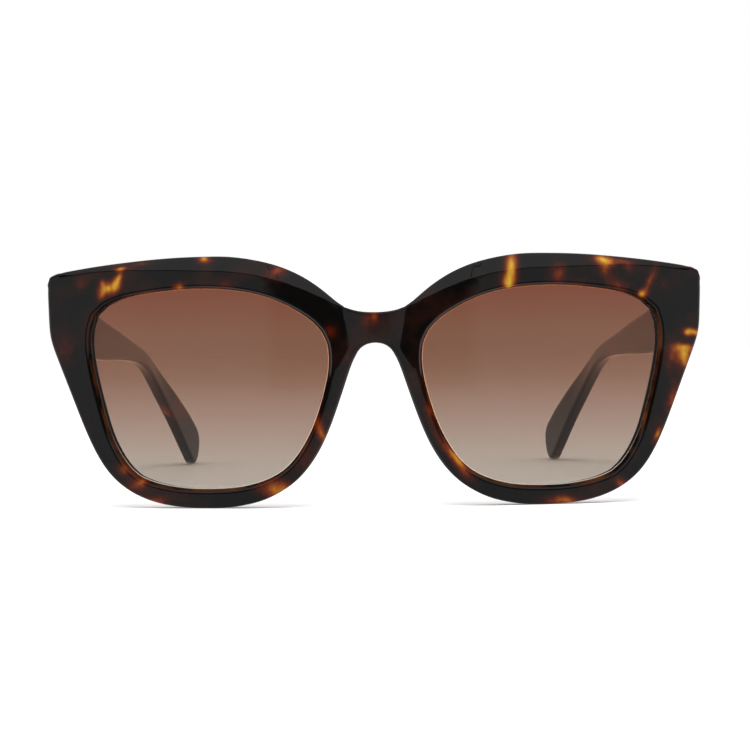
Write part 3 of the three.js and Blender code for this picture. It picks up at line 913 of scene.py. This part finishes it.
class Nodes:
    """Short calls for building a node tree."""

    def __init__(self, tree):
        self.tree = tree
        tree.nodes.clear()

    def value_into(self, target, value):
        if hasattr(value, "is_linked"):
            self.tree.links.new(value, target)
        else:
            target.default_value = value

    def add(self, kind, inputs=None, **settings):
        """A node with its settings made and its inputs set or linked."""
        node = self.tree.nodes.new("ShaderNode" + kind)
        for key, value in settings.items():
            setattr(node, key, value)
        for key, value in (inputs or {}).items():
            self.value_into(node.inputs[key], value)
        return node

    def place(self):
        return self.add("TexCoord").outputs["Object"]

    def attribute(self, name):
        return self.add("Attribute", attribute_name=name).outputs["Fac"]

    def math(self, operation, a, b=0.0, clamp=False):
        node = self.add("Math", {0: a, 1: b}, operation=operation, use_clamp=clamp)
        return node.outputs[0]

    def vector(self, operation, a, b=(0.0, 0.0, 0.0)):
        node = self.add("VectorMath", {0: a, 1: b}, operation=operation)
        return node.outputs["Value" if operation == "LENGTH" else "Vector"]

    def noise(self, vector, scale, detail=2.0, roughness=0.5, distortion=0.0, output=0):
        inputs = {"Vector": vector, "Scale": scale, "Detail": detail}
        inputs.update({"Roughness": roughness, "Distortion": distortion})
        return self.add("TexNoise", inputs).outputs[output]

    def ramp(self, factor, stops, interpolation="LINEAR"):
        node = self.add("ValToRGB", {"Fac": factor})
        node.color_ramp.interpolation = interpolation
        elements = node.color_ramp.elements
        while len(elements) < len(stops):
            elements.new(0.5)
        for element, (position, colour) in zip(elements, stops):
            element.position = position
            rgb = colour if isinstance(colour, tuple) else (colour, colour, colour)
            element.color = (*rgb, 1.0)
        return node.outputs["Color"]

    def mix(self, factor, a, b, blend="MIX"):
        a, b = ((*value, 1.0) if isinstance(value, tuple) else value for value in (a, b))
        inputs = {"Factor": factor, "A": a, "B": b}
        node = self.add("Mix", inputs, data_type="RGBA", blend_type=blend)
        return node.outputs["Result"]

    def stretch(self, factor, from_low, from_high, to_low=0.0, to_high=1.0):
        inputs = {"Value": factor, "From Min": from_low, "From Max": from_high}
        inputs.update({"To Min": to_low, "To Max": to_high})
        return self.add("MapRange", inputs, clamp=True).outputs["Result"]

    def bump(self, height, strength, distance):
        inputs = {"Height": height, "Strength": strength, "Distance": distance}
        return self.add("Bump", inputs).outputs["Normal"]

    def shader(self, kind, inputs):
        return self.add("Bsdf" + kind, inputs).outputs[0]

    def blend(self, share, first, second):
        return self.add("MixShader", {0: share, 1: first, 2: second}).outputs[0]


def new_material(name):
    material = bpy.data.materials.new(name)
    material.use_nodes = True
    return material, Nodes(material.node_tree)


def with_surface(material, nodes, surface):
    nodes.add("OutputMaterial", {"Surface": surface})
    return material


# Amber flecks of the front: (x, height, half width, half height, tilt in degrees, strength).
FRONT_FLECKS = [
    (-57.9, 48.0, 1.8, 1.15, 20, 1.0),
    (-59.6, 46.6, 0.6, 1.1, -25, 0.42),
    (-59.2, 49.0, 0.5, 0.7, 0, 0.4),
    (-55.6, 50.4, 0.65, 1.9, -16, 0.7),
    (-55.4, 52.7, 1.4, 0.35, 8, 0.5),
    (-50.9, 53.2, 1.7, 0.4, 8, 0.42),
    (-36.9, 54.0, 1.2, 0.8, 0, 0.8),
    (-42.5, 48.2, 0.9, 0.85, 0, 0.78),
    (-64.4, 49.0, 1.3, 1.2, 0, 0.24),
    (-61.3, 50.7, 3.0, 1.0, 8, 0.2),
    (-32.2, 48.5, 1.6, 1.4, 0, 0.28),
    (-20.7, 51.6, 2.0, 1.1, 25, 0.5),
    (-9.7, 38.0, 1.3, 1.3, 0, 0.32),
    (-12.2, 16.8, 1.2, 3.6, 20, 0.62),
    (-20.5, 3.8, 4.0, 1.7, -20, 0.74),
    (-51.7, 5.6, 2.2, 1.4, 30, 0.55),
    (-55.2, 8.7, 1.5, 1.2, 40, 0.5),
    (-49.5, 1.5, 3.4, 1.0, 12, 0.62),
    (-0.2, 41.3, 1.1, 1.4, 20, 0.5),
    (-2.1, 40.0, 1.1, 1.6, 20, 0.3),
    (-5.8, 32.5, 0.6, 0.8, 0, 0.3),
    (29.5, 51.6, 1.1, 3.2, -6, 1.0),
    (28.8, 48.0, 1.4, 1.2, 0, 0.5),
    (39.9, 50.2, 1.5, 2.2, 0, 0.42),
    (50.0, 53.2, 1.9, 0.75, -6, 0.9),
    (50.2, 51.3, 1.3, 1.6, 0, 0.46),
    (54.6, 52.9, 2.2, 0.6, -8, 0.32),
    (55.4, 51.4, 1.4, 0.9, 0, 0.3),
    (53.2, 47.7, 2.0, 1.2, -15, 0.42),
    (60.2, 48.2, 0.75, 3.0, -21, 0.52),
    (58.7, 45.7, 0.9, 0.7, 0, 0.85),
    (63.5, 47.7, 1.4, 1.4, 0, 0.22),
    (70.2, 37.0, 1.6, 0.65, -14, 1.0),
    (68.6, 37.2, 0.6, 0.6, 0, 0.6),
    (67.9, 33.9, 2.2, 0.8, 0, 0.6),
    (67.9, 32.3, 1.4, 1.5, 0, 0.8),
    (67.9, 30.3, 0.8, 1.5, -12, 0.5),
    (65.0, 31.6, 1.4, 3.0, -12, 0.36),
    (65.2, 22.8, 1.1, 2.9, -18, 0.55),
    (62.0, 14.8, 0.6, 1.7, -28, 0.7),
    (53.6, 4.1, 1.5, 1.0, -30, 0.55),
    (40.6, 0.8, 3.2, 1.0, 0, 0.68),
    (17.2, 10.3, 1.0, 4.0, 38, 0.8),
    (12.0, 20.6, 1.2, 2.8, 15, 0.4),
]
FLECK_DEPTH = 9.0
FLECK_REACH, FLECK_CORE = 2.9, 0.2
FLECK_FALL = 1.9


def fleck_field(nodes, position):
    """Strength of the front's listed flecks at a position: 1 in a core, 0 outside them all."""
    total = None
    for x, height, half_width, half_height, tilt, strength in FRONT_FLECKS:
        inputs = {
            "Vector": position,
            "Location": to_row([[x, sag(x) + FRONT_THICKNESS / 2, height]])[0],
            "Rotation": (0.0, -math.radians(tilt), 0.0),
            "Scale": (half_width * MM, FLECK_DEPTH * MM, half_height * MM),
        }
        mapping = nodes.add("Mapping", inputs, vector_type="TEXTURE")
        reach = nodes.vector("LENGTH", mapping.outputs[0])
        fall = nodes.math("POWER", nodes.stretch(reach, FLECK_REACH, FLECK_CORE), FLECK_FALL)
        level = nodes.math("MULTIPLY", fall, strength)
        total = level if total is None else nodes.math("ADD", total, level)
    return total


def random_flecks(nodes, position, spacing, stretch, amount):
    """Scattered soft flecks, one at most in each cell of the given spacing in millimetres."""
    mapping = nodes.add("Mapping", {"Vector": position, "Scale": stretch})
    inputs = {"Vector": mapping.outputs[0], "Scale": 1.0 / (spacing * MM)}
    cells = nodes.add("TexVoronoi", inputs, feature="F1")
    split = nodes.add("SeparateColor", {"Color": cells.outputs["Color"]})
    radius = nodes.stretch(split.outputs[0], 0.3, 1.0, 0.05, 0.75)
    level = nodes.math("SUBTRACT", radius, cells.outputs["Distance"])
    return nodes.stretch(level, 0.0, 0.42, 0.0, amount)


INNER_FLECKS = 0.42
# Acetate colour against fleck strength, from the dark ground to the middle of a fleck.
AMBER = [
    (0.04, (0.0022, 0.0018, 0.0017)),
    (0.15, (0.009, 0.0026, 0.0016)),
    (0.30, (0.038, 0.0045, 0.0012)),
    (0.46, (0.112, 0.0175, 0.0014)),
    (0.62, (0.225, 0.062, 0.0032)),
    (0.80, (0.345, 0.16, 0.009)),
    (1.0, (0.44, 0.275, 0.024)),
]
BROWN_HAZE = (0.018, 0.0048, 0.0026)
# Colour of the painted glints on the walls beside the lenses.
WALL_GLINT_AMBER = (0.07, 0.018, 0.004)
ACETATE_IOR = 1.49
FLECK_WOBBLE = 1.5 * MM
SURFACE_RIPPLE = 0.05 * MM
# Fineness of each pattern in the acetate and of the painted glints on the lens walls, in waves per metre.
WAVES = {
    "wobble": 190.0, "streaks": 330.0, "grain": 900.0, "haze": 75.0,
    "wall_glints": 110.0, "smear": 120.0, "ripple": 180.0,
}


def amber_strength(nodes, coordinates, listed):
    """Strength of the amber at each point, with streaks and grain in every fleck."""
    wobble = nodes.noise(coordinates, WAVES["wobble"], 1.0, 0.4, output="Color")
    push = nodes.vector("SUBTRACT", wobble, (0.5, 0.5, 0.5))
    push = nodes.vector("MULTIPLY", push, (FLECK_WOBBLE,) * 3)
    position = nodes.vector("ADD", coordinates, push)
    if listed:
        field = fleck_field(nodes, position)
        speckle = random_flecks(nodes, position, 13.0, (1.0, 0.6, 1.0), 0.26)
    else:
        field = random_flecks(nodes, position, 13.0, (1.0, 0.5, 1.25), 1.0)
        speckle = random_flecks(nodes, position, 8.0, (1.0, 0.8, 1.0), 0.5)
    field = nodes.math("MAXIMUM", field, speckle)
    if not listed:
        share = nodes.stretch(nodes.attribute("outward"), 0.0, 0.6, INNER_FLECKS, 1.0)
        field = nodes.math("MULTIPLY", field, share)
    drawn_out = nodes.vector("MULTIPLY", position, (1.0, 1.0, 0.3))
    streaks = nodes.noise(drawn_out, WAVES["streaks"], 3.0, 0.6, 0.4)
    field = nodes.math("MULTIPLY", field, nodes.stretch(streaks, 0.32, 0.66, 0.8, 1.12))
    grain = nodes.noise(position, WAVES["grain"], 4.0, 0.6)
    return nodes.math("ADD", field, nodes.stretch(grain, 0.3, 0.7, -0.05, 0.05), clamp=True)


def tortoiseshell(name, listed):
    """Polished dark acetate with soft amber flecks sunk in it, listed ones or scattered ones."""
    material, nodes = new_material(name)
    coordinates = nodes.place()
    colour = nodes.ramp(amber_strength(nodes, coordinates, listed), AMBER)
    cloud = nodes.noise(coordinates, WAVES["haze"], 3.0, 0.6)
    colour = nodes.mix(nodes.stretch(cloud, 0.5, 0.76, 0.0, 0.9), colour, BROWN_HAZE, "LIGHTEN")
    smear = nodes.noise(coordinates, WAVES["smear"], 3.0)
    ripple = nodes.noise(coordinates, WAVES["ripple"], 2.0)
    inputs = {
        "IOR": ACETATE_IOR,
        "Roughness": nodes.stretch(smear, 0.3, 0.7, 0.018, 0.05),
        "Normal": nodes.bump(ripple, 0.06, SURFACE_RIPPLE),
    }
    if listed:
        # Painted highlight: patches of amber lightened into the walls beside the lenses, standing in for
        # glints of light seen on them.
        wall = nodes.attribute("wall")
        wall_glints = nodes.noise(coordinates, WAVES["wall_glints"], 3.0, 0.6)
        painted_highlight = nodes.math("MULTIPLY", wall, nodes.stretch(wall_glints, 0.42, 0.66))
        colour = nodes.mix(painted_highlight, colour, WALL_GLINT_AMBER, "LIGHTEN")
        # Painted shade: the walls beside the lenses and the thin line round each opening lose most of their
        # reflection, so they stay dark.
        shaded = nodes.math("MAXIMUM", wall, nodes.attribute("shade_line"))
        inputs["Specular IOR Level"] = nodes.stretch(shaded, 0.0, 1.0, 0.5, 0.05)
    inputs["Base Color"] = colour
    return with_surface(material, nodes, nodes.shader("Principled", inputs))


# Colours of light through the lens and of the painted highlight on its edge, against height up the lens.
LENS_TINT = [
    (0.05, (0.305, 0.28, 0.245)),
    (0.5, (0.225, 0.11, 0.071)),
    (0.74, (0.238, 0.119, 0.0775)),
    (0.92, (0.2134, 0.0725, 0.0432)),
]
LENS_EDGE_HIGHLIGHT = [
    (0.05, (0.85, 0.76, 0.64)),
    (0.45, (0.8, 0.45, 0.3)),
    (0.9, (0.42, 0.15, 0.07)),
]
LENS_IOR = 1.5
LENS_GLOW_END = 0.9
LENS_GLOW_FADES = (50.0 * MM, 58.0 * MM)


def painted_edge_highlight(nodes, across, outer_side):
    """Strength of the painted highlight line round the lens, faded beside the temple."""
    inset = nodes.attribute("edge_inset")
    edge = nodes.stretch(inset, LENS_GLOW_END, LENS_GLOW_END - 0.1, 0.0, 0.75)
    far_out = nodes.math("ABSOLUTE", across)
    edge = nodes.math("MULTIPLY", edge, nodes.stretch(far_out, *LENS_GLOW_FADES, 1.0, 0.1))
    return nodes.math("MULTIPLY", edge, outer_side)


def lens_material():
    """Brown tint that fades downwards, with a clear polished surface on each side and a painted highlight
    round its edge.
    """
    material, nodes = new_material("lens_gradient")
    coordinates = nodes.place()
    split = nodes.add("SeparateXYZ", {0: coordinates})
    low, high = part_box("lens_left")
    drift = nodes.stretch(nodes.noise(coordinates, 25.0), 0.3, 0.7, -0.02, 0.02)
    height = nodes.stretch(split.outputs[2], low.z, high.z)
    height = nodes.math("ADD", height, drift, clamp=True)
    tint = nodes.ramp(height, LENS_TINT, "B_SPLINE")
    half_tint = nodes.add("Gamma", {"Color": tint, "Gamma": 0.5})
    through = nodes.shader("Transparent", {"Color": half_tint.outputs[0]})
    smear = nodes.stretch(nodes.noise(coordinates, 60.0, 3.0), 0.3, 0.7, 0.01, 0.035)
    ripple = nodes.bump(nodes.noise(coordinates, 40.0, 1.0), 0.03, SURFACE_RIPPLE)
    gloss = nodes.shader("Glossy", {"Roughness": smear, "Normal": ripple})
    fresnel = nodes.add("Fresnel", {"IOR": LENS_IOR}).outputs[0]
    backfacing = nodes.add("NewGeometry").outputs["Backfacing"]
    outer_side = nodes.math("SUBTRACT", 1.0, backfacing)
    glass = nodes.blend(nodes.math("MULTIPLY", fresnel, outer_side), through, gloss)
    # Painted highlight: a peach line of flat colour laid round the lens edge, over the glass.
    highlight_shader = nodes.shader("Diffuse", {"Color": nodes.ramp(height, LENS_EDGE_HIGHLIGHT)})
    painted_highlight = painted_edge_highlight(nodes, split.outputs[0], outer_side)
    return with_surface(material, nodes, nodes.blend(painted_highlight, glass, highlight_shader))


def metal(name, colour, roughness):
    """Tumbled metal with fine brushed grain and dulled patches."""
    material, nodes = new_material(name)
    coordinates = nodes.place()
    stretched = nodes.vector("MULTIPLY", coordinates, (1.0, 1.0, 14.0))
    grain = nodes.noise(stretched, 1500.0, 4.0, 0.6)
    patches = nodes.stretch(nodes.noise(coordinates, 320.0, 3.0), 0.35, 0.7)
    inputs = {
        "Base Color": nodes.mix(patches, colour, tuple(0.72 * c for c in colour)),
        "Metallic": 1.0,
        "Roughness": nodes.stretch(grain, 0.3, 0.7, roughness - 0.07, roughness + 0.08),
        "Normal": nodes.bump(grain, 0.15, 0.02 * MM),
    }
    return with_surface(material, nodes, nodes.shader("Principled", inputs))


def paint(obj, material):
    obj.data.materials.clear()
    obj.data.materials.append(material)


def finish_piece(obj, material, body, node):
    """Gives a piece its material and its body, and hides the CAD node it stands for."""
    paint(obj, material)
    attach(obj, body)
    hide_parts(node)


# ---- assembly

FRONT_ACETATE = tortoiseshell("acetate_front", True)
TEMPLE_ACETATE = tortoiseshell("acetate_temple", False)
LENS = lens_material()
NICKEL = metal("nickel_silver", (0.66, 0.63, 0.57), 0.3)
STEEL = metal("screw_steel", (0.7, 0.7, 0.71), 0.24)


def add_side(name, side):
    """Every piece of one side, each in place of its CAD node."""
    arm = f"temple_arm_{name}"

    def finish(build, node, material, body):
        node = f"{node}_{name}"
        finish_piece(build(f"{node}_visual", side), material, body, node)

    finish(build_lens, "lens", LENS, "front")
    finish(build_pad, "nose_pad", TEMPLE_ACETATE, "front")
    finish(build_temple, "temple", TEMPLE_ACETATE, arm)
    finish(partial(build_leaf, FRONT_LEAF), "hinge_front_leaf", NICKEL, "front")
    finish(partial(build_leaf, TEMPLE_LEAF), "hinge_temple_leaf", NICKEL, arm)
    finish(build_screw, "hinge_screw", STEEL, "front")
    paint(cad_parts[f"temple_core_{name}"], NICKEL)


finish_piece(build_front(), FRONT_ACETATE, "front", "front_frame")
for side_name, side_sign in SIDES.items():
    add_side(side_name, side_sign)


# ---- studio

FLOOR_HALF = 1.6
FLOOR_FADES = (0.5, 1.5)
FLOOR_GLOW = 0.16


def floor_paper():
    """Pale matt paper that fades out far from the object."""
    material, nodes = new_material("floor_paper")
    coordinates = nodes.place()
    fibres = nodes.noise(coordinates, 300.0, 3.0)
    inputs = {
        "Base Color": nodes.ramp(fibres, [(0.3, 0.86), (0.7, 0.88)]),
        "Roughness": 0.9,
        "Emission Color": (1.0, 1.0, 1.0, 1.0),
        "Emission Strength": FLOOR_GLOW,
    }
    paper = nodes.shader("Principled", inputs)
    away = nodes.stretch(nodes.vector("LENGTH", coordinates), *FLOOR_FADES)
    return with_surface(material, nodes, nodes.blend(away, paper, nodes.shader("Transparent", {})))


def build_floor():
    mesh = bpy.data.meshes.new("floor")
    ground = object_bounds()[0].z
    turns = ((-1, -1), (1, -1), (1, 1), (-1, 1))
    corners = [(x * FLOOR_HALF, y * FLOOR_HALF, ground) for x, y in turns]
    mesh.from_pydata(corners, [], [(0, 1, 2, 3)])
    mesh.materials.append(floor_paper())
    floor = in_scene("floor", mesh)
    floor.visible_glossy = False


# Brightness the polished surfaces reflect, against the turn away from the viewer's side.
PANELS = [
    (0.0, 0.42), (0.0125, 0.42), (0.0145, 0.012), (0.064, 0.015), (0.074, 0.34), (0.22, 0.45),
    (0.3, 1.1), (0.5, 1.2), (0.8, 1.35), (0.9, 1.6), (1.0, 1.8),
]
OVERHEAD = 0.62
LOW_PANEL = 0.34
DARK_GAP = 0.02
# A small dark card beside the viewer, which the flat bridge reflects: its turn, half width and foot.
CARD_TURN = 0.0088
CARD_HALF_WIDTH = 0.0034
CARD_FOOT = -0.0099
CARD = 0.01


def reflected_panels(nodes, turn, up):
    """What polished surfaces reflect, against the turn from the viewer and the height up."""
    around = nodes.math("DIVIDE", nodes.math("ABSOLUTE", turn), math.pi)
    panels = nodes.ramp(around, PANELS)
    lower = nodes.stretch(up, -0.052, -0.04, LOW_PANEL, 0.0)
    panels = nodes.mix(1.0, panels, nodes.ramp(lower, [(0.0, 0.0), (1.0, 1.0)]), "LIGHTEN")
    panels = nodes.mix(nodes.stretch(up, 0.2, 0.3), panels, (OVERHEAD,) * 3)
    gap = nodes.ramp(up, [(0.09, 0.0), (0.13, 1.0), (0.3, 1.0), (0.4, 0.0)])
    panels = nodes.mix(gap, panels, (DARK_GAP,) * 3)
    aside = nodes.math("ABSOLUTE", nodes.math("SUBTRACT", turn, CARD_TURN))
    across_card = nodes.stretch(aside, CARD_HALF_WIDTH, CARD_HALF_WIDTH + 0.0006, 1.0, 0.0)
    up_card = nodes.stretch(up, CARD_FOOT, CARD_FOOT + 0.001)
    return nodes.mix(nodes.math("MULTIPLY", across_card, up_card), panels, (CARD,) * 3)


def build_world():
    """White to the eye, even for soft light, and panelled like a studio for reflections."""
    world = bpy.data.worlds.new("studio")
    bpy.context.scene.world = world
    world.use_nodes = True
    nodes = Nodes(world.node_tree)
    direction = nodes.add("TexCoord").outputs["Generated"]
    x, y, up = nodes.add("SeparateXYZ", {0: direction}).outputs
    turn = nodes.math("ARCTAN2", x, nodes.math("MULTIPLY", y, -1.0))
    path = nodes.add("LightPath")
    even = nodes.stretch(up, -0.2, 1.0, 0.75, 1.15)
    light = nodes.mix(path.outputs["Is Glossy Ray"], even, reflected_panels(nodes, turn, up))
    light = nodes.mix(path.outputs["Is Camera Ray"], light, (1.0, 1.0, 1.0))
    background = nodes.add("Background", {"Color": light})
    nodes.add("OutputWorld", {"Surface": background.outputs[0]})


def add_softbox(name, location, target, size, power):
    """A soft area light aimed at a point, which reflections don't show."""
    light = bpy.data.lights.new(name, "AREA")
    light.shape = "RECTANGLE"
    light.size, light.size_y = size
    light.energy = power
    obj = in_scene(name, light)
    obj.location = location
    obj.rotation_mode = "QUATERNION"
    obj.rotation_quaternion = (Vector(target) - Vector(location)).to_track_quat("-Z", "Y")
    obj.visible_glossy = False


CAMERA_DISTANCE = 554.0
CAMERA_HEIGHT = 47.7
CAMERA_PITCH = 1.96
CAMERA_ROLL = 0.67
CAMERA_X = -4.0
CAMERA_YAW = 0.4
CAMERA_LENS = 123.15


def build_camera():
    """A long lens on the viewer's side, rolled as the photo is."""
    camera = bpy.data.cameras.new("camera")
    camera.lens = CAMERA_LENS
    camera.clip_start = 0.01
    camera.clip_end = 50.0
    obj = in_scene("camera", camera)
    obj.location = to_row([[CAMERA_X, -CAMERA_DISTANCE, CAMERA_HEIGHT]])[0]
    pitch, roll, yaw = (math.radians(a) for a in (CAMERA_PITCH, CAMERA_ROLL, CAMERA_YAW))
    aim = Vector((math.sin(yaw), math.cos(yaw), -math.tan(pitch)))
    obj.rotation_mode = "QUATERNION"
    upright = aim.to_track_quat("-Z", "Y").to_matrix()
    obj.rotation_quaternion = (upright @ Matrix.Rotation(-roll, 3, "Z")).to_quaternion()
    bpy.context.scene.camera = obj


build_floor()
build_world()
add_softbox("softbox_top", (0.0, -0.25, 0.9), (0.0, 0.04, 0.0), (0.9, 0.6), 9.0)
build_camera()
bpy.context.scene.view_settings.view_transform = "Standard"
